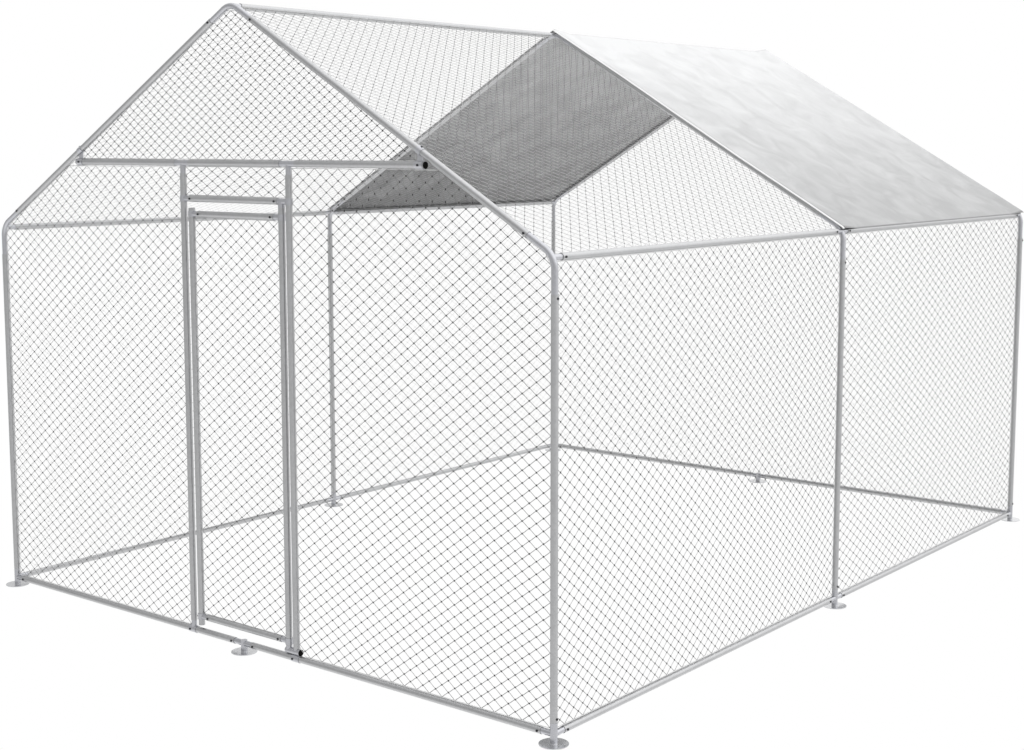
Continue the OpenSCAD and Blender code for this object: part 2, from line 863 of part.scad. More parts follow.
apex(mid_y);  // mid_apex
apex(rear_y);  // rear_apex
corner_foot(-1, front_y);  // front_left_foot
corner_foot(1, front_y);  // front_right_foot
mid_foot(-1);  // mid_left_foot
mid_foot(1);  // mid_right_foot
corner_foot(-1, rear_y);  // rear_left_foot
corner_foot(1, rear_y);  // rear_right_foot
centre_foot(front_y);  // front_centre_foot
centre_foot(rear_y);  // rear_centre_foot
sleeved_tubes(crossbar_members, clamp_screws);  // crossbar
crossbar_tees();
crossbar_clamps();
tube(jamb(-1));  // left_jamb
tube(jamb(1));  // right_jamb
tube(header);  // door_header
header_tee();
hinge_head();
jamb_foot();
hinge_foot();
end_plugs();
frame_screws();
stile(hinge_x, hinge_stile_bottom_z, hinge_stile_top_z);  // hinge_stile
stile(latch_x, latch_bottom_z, latch_top_z);  // latch_stile
tubes(door_members);  // door_rails
door_tees();
door_screws();
door_net();
front_nets();
rear_net();
wall_nets();
roof_nets();
roof_tarp();
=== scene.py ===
"""Looks of a walk-in chicken run: galvanised tubes, fine wire netting and a creased roof tarp."""

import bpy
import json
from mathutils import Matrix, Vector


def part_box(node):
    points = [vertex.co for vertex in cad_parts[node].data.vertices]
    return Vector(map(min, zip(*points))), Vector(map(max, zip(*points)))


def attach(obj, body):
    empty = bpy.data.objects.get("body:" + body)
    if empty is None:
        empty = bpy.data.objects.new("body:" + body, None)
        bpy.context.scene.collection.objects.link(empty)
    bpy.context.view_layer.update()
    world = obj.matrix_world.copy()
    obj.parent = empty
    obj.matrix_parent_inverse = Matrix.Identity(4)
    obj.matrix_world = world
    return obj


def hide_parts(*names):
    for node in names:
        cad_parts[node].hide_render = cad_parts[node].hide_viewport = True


bl_info = {
    "name": "Chicken Run Looks",
    "version": (1, 0, 0),
    "blender": (4, 5, 0),
    "location": "View3D > Sidebar > Chicken Run",
    "description": "Finishes a walk-in chicken run and sets up its studio",
    "category": "Object",
}

import json
import math

import bmesh
import bpy
from mathutils import Matrix, Vector, noise

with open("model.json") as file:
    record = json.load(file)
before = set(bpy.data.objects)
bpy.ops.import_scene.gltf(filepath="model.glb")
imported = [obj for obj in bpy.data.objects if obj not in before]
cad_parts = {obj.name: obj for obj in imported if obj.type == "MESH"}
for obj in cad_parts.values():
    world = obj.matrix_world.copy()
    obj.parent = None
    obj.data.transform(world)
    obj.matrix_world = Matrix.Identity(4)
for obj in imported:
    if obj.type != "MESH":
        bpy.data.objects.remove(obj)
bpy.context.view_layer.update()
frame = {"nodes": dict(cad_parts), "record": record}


def middle(node):
    """Middle of a node's box, which lies on the axis of a straight tube."""
    low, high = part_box(node)
    return (low + high) / 2


X_AXIS, Y_AXIS, Z_AXIS = Vector((1, 0, 0)), Vector((0, 1, 0)), Vector((0, 0, 1))

# Axes of the frame's tubes; the ridge and the eaves are where the axes of the gables' tubes meet
TUBE_R = (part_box("front_right_post")[1].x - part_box("front_right_post")[0].x) / 2
HALF_W = middle("front_right_post").x
FRONT_Y = middle("front_right_post").y
MID_Y = 0.0
REAR_Y = middle("rear_right_post").y
BASE_Z = middle("right_base_rails").z
EAVE_RAIL = middle("right_eave_rails")
RIDGE_RAIL = middle("ridge_rails")
CROSSBAR_Z = middle("crossbar").z
ROOF_PITCH = math.radians(30)
RAFTER = middle("front_right_rafter")
RIDGE_Z = RAFTER.z + RAFTER.x * math.tan(ROOF_PITCH)
EAVE_Z = RIDGE_Z - HALF_W * math.tan(ROOF_PITCH)
SIDES = {"left": -1, "right": 1}
BAYS = {"front": (FRONT_Y, MID_Y), "rear": (MID_Y, REAR_Y)}

# How far the edges of the nets stay off the axes of tubes, of sleeves and of bends
EDGE_ROOM = 0.0003
BACK = TUBE_R + EDGE_ROOM
SLEEVE_BACK = 0.0148
BEND_BACK = 0.0282
# The gable's net ends before the crossbar's clamps, the net beside the door over the hinge foot
CLAMP_REACH = 0.036
BARREL_ROOM = 0.002
BARREL_CUT_Z = 0.0735

# Width and height of the nets' cells
FRONT_MESH = (0.06, 0.0425)
GABLE_MESH = (0.051, 0.0335)
WALL_MESH = {"front": (0.051, 0.041), "rear": (0.0635, 0.041)}
ROOF_MESH = (0.05, 0.045)
# How much painted highlight the wires of one slant get, as in add_strand
WALL_PAINTED_GLEAM = {"right": -0.5}
ROOF_PAINTED_GLEAM = {("right", "front"): 0.65, ("left", "rear"): -0.35}
# Half the depth and length of a twist, in its widths
KNOT_DEPTH = 0.4
KNOT_LENGTH = 0.8
# How far two wires that meet stay apart, in thicknesses
WIRE_APART = 0.3
# An edge of a net is slanted if both parts of its direction are over this
SLANT_LIMIT = 0.01

# Share of the cloudy patches in the zinc's tone; the rest are crystals
CLOUD_SHARE = 0.6
# Thickness of a foot's plate, and the height over it in which its finish changes
PLATE_T = 0.003
HUB_BLEND = 0.004
# Darkest and lightest speckles of the plugs and screws, and how much their roughness varies
SPECKLE_SHADES = (0.7, 1.4)
SPECKLE_ROUGH = 0.08

# Degrees that the tarp goes round the eave rails and the end rafters, and the room for screw heads
EDGE_WRAP = 45
RAFTER_WRAP = 58
HEAD_ROOM = 0.0027
# How far the sheet's ridge lies under the top of the plain tarp
SHEET_DROP = 0.0006
# Distance from an end rafter at which the tarp is level again
DRAPE = 0.12
# Roundness of the ridge, and the distance from it in which the slopes' directions part
RIDGE_FOLD = 0.004
RIDGE_BLEND = 0.02
# The rims with a painted highlight start this far past the end rafters' axes
RIM_HIGHLIGHT_START = 0.008
PAINTED_RIM_HIGHLIGHT_TONE = (0.75, 0.75, 0.75, 1)
# Steps of the tarp's mesh: eave bend, both slopes, rafter bend, level length
BEND_STEPS, SLOPE_STEPS, WRAP_STEPS, LEVEL_STEPS = 5, 200, 8, 80

# The camera, fitted to the corners of the frame, in pixels of a picture this wide
PICTURE_W = 1024
FOCAL = 1555.2
SHIFT = (-10.6, -48.3)
SENSOR = 36.0
CAMERA_PLACE = (4.456, -5.844, 1.935)
CAMERA_DOWN = 6.61
CAMERA_TURN = 38.48

FLOOR_SIZE = 300.0
VIEW_END = 400.0
BRIGHT_SIDE = (0.33, 0.37, 0.87)


class RunSizes(bpy.types.PropertyGroup):
    """Sizes that a user may change"""

    wire: bpy.props.FloatProperty(
        name="Wire", description="Thickness of the netting's wire", default=0.0021, unit="LENGTH"
    )
    fine_wire: bpy.props.FloatProperty(
        name="Fine wire", description="Thickness of the finer netting's wire",
        default=0.0015, unit="LENGTH",
    )
    knot: bpy.props.FloatProperty(
        name="Knot", description="Width of a twist, in thicknesses of its wire", default=2.7
    )
    fine_knot: bpy.props.FloatProperty(
        name="Fine knot", description="Width of a finer twist, in thicknesses of its wire",
        default=2.2,
    )
    tarp_thickness: bpy.props.FloatProperty(
        name="Tarp", description="Thickness of the tarp", default=0.0008, unit="LENGTH"
    )
    crease: bpy.props.FloatProperty(
        name="Creases", description="Height of the tarp's creases", default=0.005, unit="LENGTH"
    )


class RunColours(bpy.types.PropertyGroup):
    """Colours that a user may change"""

    tube: bpy.props.FloatVectorProperty(
        name="Tubes", description="Galvanised tubes", subtype="COLOR", default=(0.44, 0.443, 0.45)
    )
    fitting: bpy.props.FloatVectorProperty(
        name="Fittings", description="Zinc plated connectors",
        subtype="COLOR", default=(0.46, 0.465, 0.49),
    )
    foot: bpy.props.FloatVectorProperty(
        name="Feet", description="Bright foot plates", subtype="COLOR", default=(0.64, 0.645, 0.66)
    )
    wire: bpy.props.FloatVectorProperty(
        name="Wire", description="Netting wire", subtype="COLOR", default=(0.29, 0.29, 0.29)
    )
    # Colour of the lighter copy of the wire, painted light on the far nets' inner faces
    painted_light_wire: bpy.props.FloatVectorProperty(
        name="Bright wire", description="Brighter netting wire",
        subtype="COLOR", default=(0.85, 0.85, 0.85),
    )
    tarp: bpy.props.FloatVectorProperty(
        name="Tarp", description="Upper side of the tarp",
        subtype="COLOR", default=(0.45, 0.453, 0.457),
    )
    tarp_under: bpy.props.FloatVectorProperty(
        name="Tarp underside", description="Lower side of the tarp",
        subtype="COLOR", default=(0.37, 0.372, 0.375),
    )


class RunLooks(bpy.types.PropertyGroup):
    """Everything that the operators read"""

    sizes: bpy.props.PointerProperty(type=RunSizes)
    colours: bpy.props.PointerProperty(type=RunColours)


def add_group(name, inputs, outputs):
    """New shader node group with the given sockets, and its input and output nodes."""
    group = bpy.data.node_groups.new(name, "ShaderNodeTree")
    for socket, kind, value in inputs:
        made = group.interface.new_socket(socket, in_out="INPUT", socket_type=kind)
        if value is not None:
            made.default_value = value
    for socket, kind in outputs:
        group.interface.new_socket(socket, in_out="OUTPUT", socket_type=kind)
    return group, group.nodes.new("NodeGroupInput"), group.nodes.new("NodeGroupOutput")


def feed(tree, node, inputs):
    """Links a node's inputs, by name or number, to the sockets given, and sets the others."""
    for key, value in inputs.items():
        if isinstance(value, bpy.types.NodeSocket):
            tree.links.new(value, node.inputs[key])
        else:
            node.inputs[key].default_value = value


def add_node(tree, kind, **values):
    """New node whose properties and inputs are set or linked by name."""
    node = tree.nodes.new(kind)
    for key, value in values.items():
        if hasattr(node, key):
            setattr(node, key, value)
        else:
            feed(tree, node, {key.replace("_", " "): value})
    return node


# Numbers of a Mix node's two ends and of its result
MIX_SOCKETS = {"FLOAT": (2, 3, 0), "RGBA": (6, 7, 2)}


def mix(tree, kind, factor, first, second):
    """Socket that goes from first to second with the factor; each may be a socket or a value."""
    node = add_node(tree, "ShaderNodeMix", data_type=kind)
    a, b, result = MIX_SOCKETS[kind]
    feed(tree, node, {0: factor, a: first, b: second})
    return node.outputs[result]


def spangle_group():
    """Zinc coat: crystals of slightly different grey, soft cloudy patches and a fine grain."""
    group, given, made = add_group(
        "zinc_coat",
        [
            ("Vector", "NodeSocketVector", None),
            ("Dark", "NodeSocketColor", (0.3, 0.3, 0.3, 1)),
            ("Light", "NodeSocketColor", (0.5, 0.5, 0.5, 1)),
            ("Crystal Scale", "NodeSocketFloat", 120.0),
            ("Smooth", "NodeSocketFloat", 0.3),
            ("Rough", "NodeSocketFloat", 0.45),
        ],
        [
            ("Color", "NodeSocketColor"),
            ("Roughness", "NodeSocketFloat"),
            ("Height", "NodeSocketFloat"),
        ],
    )
    given = given.outputs
    crystals = add_node(
        group, "ShaderNodeTexVoronoi", feature="F1",
        Vector=given["Vector"], Scale=given["Crystal Scale"],
    )
    clouds = add_node(
        group, "ShaderNodeTexNoise", Vector=given["Vector"], Scale=9.0, Detail=3.0, Roughness=0.55
    )
    grain = add_node(group, "ShaderNodeTexNoise", Vector=given["Vector"], Scale=900.0, Detail=2.0)
    tone = add_node(group, "ShaderNodeSeparateColor", Color=crystals.outputs["Color"])
    blend = mix(group, "FLOAT", CLOUD_SHARE, tone.outputs["Red"], clouds.outputs["Fac"])
    feed(group, made, {
        "Color": mix(group, "RGBA", blend, given["Dark"], given["Light"]),
        "Roughness": mix(group, "FLOAT", blend, given["Smooth"], given["Rough"]),
        "Height": grain.outputs["Fac"],
    })
    return group


def weave_group():
    """Coated woven sheet: fine crossed tapes, cloudy streaks, and a tone that lightens with height
    as painted light.
    """
    group, given, made = add_group(
        "tape_weave",
        [
            ("Vector", "NodeSocketVector", None),
            ("Dark", "NodeSocketColor", (0.6, 0.6, 0.6, 1)),
            ("Light", "NodeSocketColor", (0.8, 0.8, 0.8, 1)),
            ("Tapes", "NodeSocketFloat", 320.0),
            ("Low", "NodeSocketFloat", 1.6),
            ("High", "NodeSocketFloat", 2.4),
            ("Streaks", "NodeSocketFloat", 0.5),
        ],
        [("Color", "NodeSocketColor"), ("Height", "NodeSocketFloat")],
    )
    given = given.outputs
    across, along = (
        add_node(
            group, "ShaderNodeTexWave", bands_direction=direction,
            Vector=given["Vector"], Scale=given["Tapes"],
        )
        for direction in "XY"
    )
    tapes = add_node(group, "ShaderNodeMath", operation="MAXIMUM")
    feed(group, tapes, {0: across.outputs["Fac"], 1: along.outputs["Fac"]})
    streaks = add_node(
        group, "ShaderNodeTexNoise", Vector=given["Vector"],
        Scale=6.0, Detail=5.0, Roughness=0.56, Distortion=0.8,
    )
    cloud = add_node(
        group, "ShaderNodeMapRange", Value=streaks.outputs["Fac"],
        From_Min=0.3, From_Max=0.7, To_Min=-0.5, To_Max=0.5,
    )
    place = add_node(group, "ShaderNodeSeparateXYZ", Vector=given["Vector"])
    # Painted light: the tone lightens with height, from Dark at the eaves to Light at the ridge
    rise = add_node(
        group, "ShaderNodeMapRange", Value=place.outputs["Z"],
        From_Min=given["Low"], From_Max=given["High"],
    )
    tone = add_node(group, "ShaderNodeMath", operation="MULTIPLY_ADD", use_clamp=True)
    feed(group, tone, {
        0: cloud.outputs["Result"], 1: given["Streaks"], 2: rise.outputs["Result"],
    })
    feed(group, made, {
        "Color": mix(group, "RGBA", tone.outputs[0], given["Dark"], given["Light"]),
        "Height": tapes.outputs[0],
    })
    return group


def new_material(name):
    """Material with only a Principled BSDF, with its node tree and that shader."""
    material = bpy.data.materials.new(name)
    material.use_nodes = True
    tree = material.node_tree
    tree.nodes.clear()
    shader = tree.nodes.new("ShaderNodeBsdfPrincipled")
    out = tree.nodes.new("ShaderNodeOutputMaterial")
    tree.links.new(shader.outputs["BSDF"], out.inputs["Surface"])
    return material, tree, shader


def object_place(tree):
    """Socket with the object's own coordinates."""
    return tree.nodes.new("ShaderNodeTexCoord").outputs["Object"]


def shade(colour, factor):
    """Colour made lighter or darker, with alpha."""
    return tuple(min(1.0, c * factor) for c in colour) + (1.0,)


def add_bump(tree, shader, height, strength, distance):
    """Bump from a height socket."""
    bump = add_node(
        tree, "ShaderNodeBump", Height=height, Strength=strength, Distance=distance
    )
    tree.links.new(bump.outputs["Normal"], shader.inputs["Normal"])


def retint(tree, factor, tone):
    """Takes the shader's colour to a tone where the factor is high."""
    shader = next(node for node in tree.nodes if node.type == "BSDF_PRINCIPLED")
    colour = shader.inputs["Base Color"].links[0].from_socket
    feed(tree, shader, {"Base Color": mix(tree, "RGBA", factor, colour, tone)})


def tint_spots(tree, attribute, tone):
    """Gives the shader a tone where the mesh has an attribute."""
    spots = add_node(tree, "ShaderNodeAttribute", attribute_name=attribute)
    retint(tree, spots.outputs["Fac"], tone)


def zinc_material(
    name, group, colour, crystals, smooth, rough, metallic, spread=0.12, specular=None
):
    """Zinc coated steel in one of the run's greys."""
    material, tree, shader = new_material(name)
    coat = add_node(
        tree, "ShaderNodeGroup", node_tree=group, Vector=object_place(tree),
        Dark=shade(colour, 1 - spread), Light=shade(colour, 1 + spread),
        Crystal_Scale=crystals, Smooth=smooth, Rough=rough,
    )
    feed(tree, shader, {
        "Base Color": coat.outputs["Color"],
        "Roughness": coat.outputs["Roughness"],
        "Metallic": metallic,
    })
    if specular is not None:
        feed(tree, shader, {"Specular IOR Level": specular})
    add_bump(tree, shader, coat.outputs["Height"], strength=0.05, distance=0.0004)
    return material


def wire_material(name, group, colour, metallic, painted_knot_shade, painted_gleam_shade):
    """Zinc coated wire, with painted shade in the twists of two wires and a painted highlight
    where marked.
    """
    material = zinc_material(
        name, group, colour,
        crystals=300.0, smooth=0.35, rough=0.5, metallic=metallic, specular=0.25,
    )
    # Painted shade on the twists, where two wires shade each other
    tint_spots(material.node_tree, "twist", shade(colour, painted_knot_shade))
    # Painted highlight on the slants and bars marked by the attribute
    tint_spots(material.node_tree, "painted_gleam", shade(colour, painted_gleam_shade))
    return material


def foot_material(group, plate, hub):
    """Bright plate whose hub and stubs, above it, have the fittings' colour."""
    material = zinc_material(
        "bright_foot", group, plate,
        crystals=260.0, smooth=0.16, rough=0.28, metallic=0.9, spread=0.06,
    )
    tree = material.node_tree
    place = add_node(tree, "ShaderNodeSeparateXYZ", Vector=object_place(tree))
    above = add_node(
        tree, "ShaderNodeMapRange", Value=place.outputs["Z"],
        From_Min=PLATE_T, From_Max=PLATE_T + HUB_BLEND,
    )
    retint(tree, above.outputs["Result"], shade(hub, 1.0))
    return material


def plain_material(name, colour, grain, rough, metallic, specular):
    """Black plastic or blackened steel with a fine moulded grain."""
    material, tree, shader = new_material(name)
    speckle = add_node(
        tree, "ShaderNodeTexNoise", Vector=object_place(tree), Scale=grain, Detail=3.0
    ).outputs["Fac"]
    gloss = add_node(
        tree, "ShaderNodeMapRange", Value=speckle,
        To_Min=rough - SPECKLE_ROUGH, To_Max=rough + SPECKLE_ROUGH,
    )
    dark, light = (shade(colour, factor) for factor in SPECKLE_SHADES)
    feed(tree, shader, {
        "Base Color": mix(tree, "RGBA", speckle, dark, light),
        "Roughness": gloss.outputs["Result"],
        "Metallic": metallic,
        "Specular IOR Level": specular,
    })
    add_bump(tree, shader, speckle, strength=0.15, distance=0.0003)
    return material


def tarp_material(name, group, dark, light, streaks, rough):
    """One side of the tarp: painted light, dark at the eaves and light at the ridge, painted shade
    on the hem and painted highlights on the rims.
    """
    material, tree, shader = new_material(name)
    weave = add_node(
        tree, "ShaderNodeGroup", node_tree=group, Vector=object_place(tree),
        Dark=dark, Light=light, Low=EAVE_Z, High=RIDGE_Z, Streaks=streaks,
    )
    feed(tree, shader, {
        "Base Color": weave.outputs["Color"], "Roughness": rough, "Sheen Weight": 0.1,
    })
    # Painted shade on the strip round the eave rails
    tint_spots(tree, "painted_hem_shade", shade(dark[:3], 0.6))
    # Painted highlight on the rims over the end rafters
    tint_spots(tree, "rim", PAINTED_RIM_HIGHLIGHT_TONE)
    add_bump(tree, shader, weave.outputs["Height"], strength=0.08, distance=0.0004)
    return material


def add_piece(name, bm, materials, body, nodes):
    """Object at the origin from a bmesh, riding on a body in place of CAD nodes."""
    mesh = bpy.data.meshes.new(name)
    bm.to_mesh(mesh)
    bm.free()
    mesh.shade_smooth()
    for material in materials:
        mesh.materials.append(material)
    piece = bpy.data.objects.new(name, mesh)
    bpy.context.scene.collection.objects.link(piece)
    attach(piece, body)
    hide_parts(*nodes)
    return piece


class CHICKEN_RUN_OT_metal(bpy.types.Operator):
    """Give the tubes, fittings, feet, plugs and screws their finishes, and make the wire's"""

    bl_idname = "chicken_run.metal"
    bl_label = "Finish Metal"

    def execute(self, context):
        colours = context.scene.chicken_run.colours
        coat = spangle_group()
        finishes = {
            "tube": zinc_material(
                "galvanised_tube", coat, colours.tube,
                crystals=160.0, smooth=0.3, rough=0.42, metallic=0.85,
            ),
            "fitting": zinc_material(
                "zinc_fitting", coat, colours.fitting,
                crystals=220.0, smooth=0.26, rough=0.4, metallic=0.85,
            ),
            "foot": foot_material(coat, colours.foot, colours.fitting),
            "plug": plain_material(
                "black_plug", (0.003, 0.003, 0.003),
                grain=700.0, rough=0.6, metallic=0.0, specular=0.04,
            ),
            "screw": plain_material(
                "dark_screw", (0.03, 0.03, 0.033),
                grain=900.0, rough=0.4, metallic=0.5, specular=0.2,
            ),
        }
        wire_material(
            "netting_wire", coat, colours.wire, metallic=0.75, painted_knot_shade=0.07, painted_gleam_shade=2.4
        )
        # Lighter copy of the wire's finish for the far nets' inner faces: painted light
        wire_material(
            "netting_wire_painted_light_side", coat, colours.painted_light_wire,
            metallic=0.1, painted_knot_shade=0.8, painted_gleam_shade=1.1,
        )
        for part in frame["record"]["subparts"]:
            finish = finishes.get(part["material_slot"])
            if finish:
                mesh = frame["nodes"][part["node"]].data
                mesh.materials.clear()
                mesh.materials.append(finish)
        return {"FINISHED"}


def ring_to(bm, edges, step, painted_gleam):
    """Extrudes an open ring of edges and moves the new ring by a step; the new faces may get a
    painted highlight.
    """
    layer = bm.faces.layers.float["painted_gleam"]
    made = bmesh.ops.extrude_edge_only(bm, edges=edges)["geom"]
    ring = [g for g in made if isinstance(g, bmesh.types.BMVert)]
    bmesh.ops.translate(bm, vec=step, verts=ring)
    for g in made:
        if isinstance(g, bmesh.types.BMFace):
            g[layer] = painted_gleam
    return [g for g in made if isinstance(g, bmesh.types.BMEdge) and g.is_boundary]


def add_strand(bm, half_turns, step, lean, wire, painted_gleam):
    """Zigzag wire up Z from the origin, whose first slant goes to the side that step.x points to.

    Slants to the left get a painted highlight with a positive share, those to the right with a
    negative one.
    """
    start = bmesh.ops.create_circle(bm, segments=4, radius=wire / 2)["verts"]
    bmesh.ops.scale(bm, vec=(lean, 1, 1), verts=start)
    edges = list({e for v in start for e in v.link_edges})
    for turn in range(half_turns):
        across = step.x if turn % 2 == 0 else -step.x
        # Share of painted highlight for this slant
        share = max(0.0, painted_gleam if across < 0 else -painted_gleam)
        edges = ring_to(bm, edges, Vector((across, 0, step.z)), share)


def geometry(verts):
    """Some vertices with their edges and faces."""
    edges = {e for v in verts for e in v.link_edges}
    faces = {f for v in verts for f in v.link_faces}
    return list(verts) + list(edges) + list(faces)


def repeat(bm, verts, count, step):
    """Row of equal shapes, each a step further on, made by doubling until it is long enough."""
    row, size = list(verts), len(verts)
    while len(row) < count * size:
        source = row[: count * size - len(row)]
        copy = bmesh.ops.duplicate(bm, geom=geometry(source))["vert_map"]
        made = [copy[v] for v in source]
        bmesh.ops.translate(bm, vec=step * (len(row) // size), verts=made)
        row += made
    return row


def slanted(edges):
    """Those edges of a net that run neither level nor upright."""
    return [(point, out) for point, out in edges if min(abs(out.x), abs(out.z)) > SLANT_LIMIT]


def add_knots(bm, low, counts, step, edges, wire, knot):
    """Spindles where two wires are twisted together, at every crossing inside the edges, marked
    for painted shade.
    """
    layer = bm.verts.layers.float["twist"]
    size = Vector((knot * wire / 2, KNOT_DEPTH * knot * wire, KNOT_LENGTH * knot * wire))
    trims = slanted(edges)
    for first in (1, 2):
        spot = Matrix.Translation(low + step * first) @ Matrix.Diagonal(size.to_4d())
        spindle = bmesh.ops.create_uvsphere(
            bm, u_segments=6, v_segments=2, radius=1.0, matrix=spot
        )["verts"]
        # Painted shade: the twist attribute darkens the spindles, where the two wires shade each
        # other
        for v in spindle:
            v[layer] = 1.0
        rows, columns = (counts[1] - first + 1) // 2, (counts[0] - first + 1) // 2
        column = repeat(bm, spindle, rows, Vector((0, 0, 2 * step.z)))
        knots = repeat(bm, column, columns, Vector((2 * step.x, 0, 0)))
        outside = []
        for v in knots if trims else []:
            at = v.co - low
            crossing = low + Vector(
                (round(at.x / step.x) * step.x, 0, round(at.z / step.z) * step.z)
            )
            if any((crossing - point).dot(out) > -size.z for point, out in trims):
                outside.append(v)
        bmesh.ops.delete(bm, geom=outside, context="VERTS")


def bars_between(bm, points, wire):
    """Straight wires along a closed outline, given by points in the XZ plane, marked for a painted
    highlight.
    """
    layer = bm.faces.layers.float["painted_gleam"]
    for a, b in zip(points, points[1:] + points[:1]):
        turn = (b - a).to_track_quat("Z", "Y").to_matrix().to_4x4()
        bar = bmesh.ops.create_cone(
            bm, cap_ends=True, segments=4, radius1=wire / 2, radius2=wire / 2,
            depth=(b - a).length + wire, matrix=Matrix.Translation((a + b) / 2) @ turn,
        )["verts"]
        for face in {f for v in bar for f in v.link_faces}:
            face[layer] = 1.0


def meet(a, b):
    """Corner of two edges, each a point and an outward direction in the XZ plane."""
    (pa, na), (pb, nb) = a, b
    det = na.x * nb.z - na.z * nb.x
    da, db = pa.dot(na), pb.dot(nb)
    return Vector(((da * nb.z - db * na.z) / det, 0, (na.x * db - nb.x * da) / det))


def net_edge(x, z, degrees, back):
    """Edge of a net through a point, pulled back against its outward direction."""
    out = Vector((math.cos(math.radians(degrees)), 0, math.sin(math.radians(degrees))))
    return Vector((x, 0, z)) - out * back, out


def rectangle(left, bottom, right, top, back, left_back=None):
    """Edges of a net between four lines, pulled back from them."""
    return [
        net_edge(0, bottom, -90, back),
        net_edge(right, 0, 0, back),
        net_edge(0, top, 90, back),
        net_edge(left, 0, 180, back if left_back is None else left_back),
    ]


def add_net(
    name, edges, mesh, place, body, node, sizes, fine=False, outside=None, painted_gleam=0.0
):
    """Wire netting inside convex edges, drawn in the XZ plane and moved to its place.

    Wires that slant to the left get a painted highlight with a positive share, the others with a
    negative one. With a direction for its outside, the wires' faces toward the inside get a
    lighter copy of the wire's finish, as painted light.
    """
    wire = sizes.fine_wire if fine else sizes.wire
    inner = [(point - out * wire / 2, out) for point, out in edges]
    corners = [meet(a, b) for a, b in zip(inner, inner[1:] + inner[:1])]
    low = Vector((min(c.x for c in corners), 0, min(c.z for c in corners)))
    high = Vector((max(c.x for c in corners), 0, max(c.z for c in corners)))
    strands = max(2, 2 * round((high.x - low.x) / mesh[0]))
    turns = max(2, 2 * round((high.z - low.z) / mesh[1]))
    step = Vector(((high.x - low.x) / strands, 0, (high.z - low.z) / turns))
    # A level ring on a slanted wire is widened by the slant
    lean = step.length / step.z
    close = WIRE_APART * lean * wire
    bm = bmesh.new()
    bm.verts.layers.float.new("twist")
    bm.faces.layers.float.new("painted_gleam")
    # A strand and its mirror image are repeated across the net
    for column, way in ((0, 1), (2, -1)):
        old = set(bm.verts)
        slant = Vector((way * (step.x - 2 * close), 0, step.z))
        add_strand(bm, turns, slant, lean, wire, painted_gleam)
        strand = [v for v in bm.verts if v not in old]
        start = low + Vector((column * step.x + way * close, 0, 0))
        bmesh.ops.translate(bm, vec=start, verts=strand)
    repeat(bm, bm.verts[:], strands // 2, Vector((2 * step.x, 0, 0)))
    for point, out in slanted(inner):
        bmesh.ops.bisect_plane(
            bm, geom=bm.verts[:] + bm.edges[:] + bm.faces[:], dist=1e-6,
            plane_co=point, plane_no=out, clear_outer=True,
        )
    bmesh.ops.holes_fill(bm, edges=[e for e in bm.edges if e.is_boundary], sides=0)
    knot = sizes.fine_knot if outside else sizes.knot
    add_knots(bm, low, (strands, turns), step, inner, wire, knot)
    bars_between(bm, corners, wire)
    bmesh.ops.transform(bm, matrix=place, verts=bm.verts[:])
    bmesh.ops.recalc_face_normals(bm, faces=bm.faces[:])
    # Painted light: faces toward the inside get the lighter copy of the wire
    finishes = [bpy.data.materials["netting_wire"]]
    if outside:
        finishes.append(bpy.data.materials["netting_wire_painted_light_side"])
        bm.normal_update()
        for face in bm.faces:
            face.material_index = int(face.normal.dot(outside) < 0)
    add_piece(name, bm, finishes, body, [node])


def plane(origin, across, up):
    """Matrix that takes X to across and Z to up."""
    side = up.cross(across)
    return Matrix.Translation(origin) @ Matrix((across, side, up)).transposed().to_4x4()


def gable_plane(y):
    """Upright plane across the run."""
    return plane(Y_AXIS * y, X_AXIS, Z_AXIS)


# Edges of the gables' nets along the posts, the eave elbows, the rafters and the ridge apex
LEFT_POST = net_edge(-HALF_W, 0, 180, BACK)
LEFT_ELBOW = net_edge(-HALF_W, EAVE_Z, 150, BEND_BACK)
LEFT_RAFTER = net_edge(0, RIDGE_Z, 120, BACK)
APEX = net_edge(0, RIDGE_Z, 90, BEND_BACK)
RIGHT_RAFTER = net_edge(0, RIDGE_Z, 60, BACK)
RIGHT_ELBOW = net_edge(HALF_W, EAVE_Z, 30, BEND_BACK)
RIGHT_POST = net_edge(HALF_W, 0, 0, BACK)


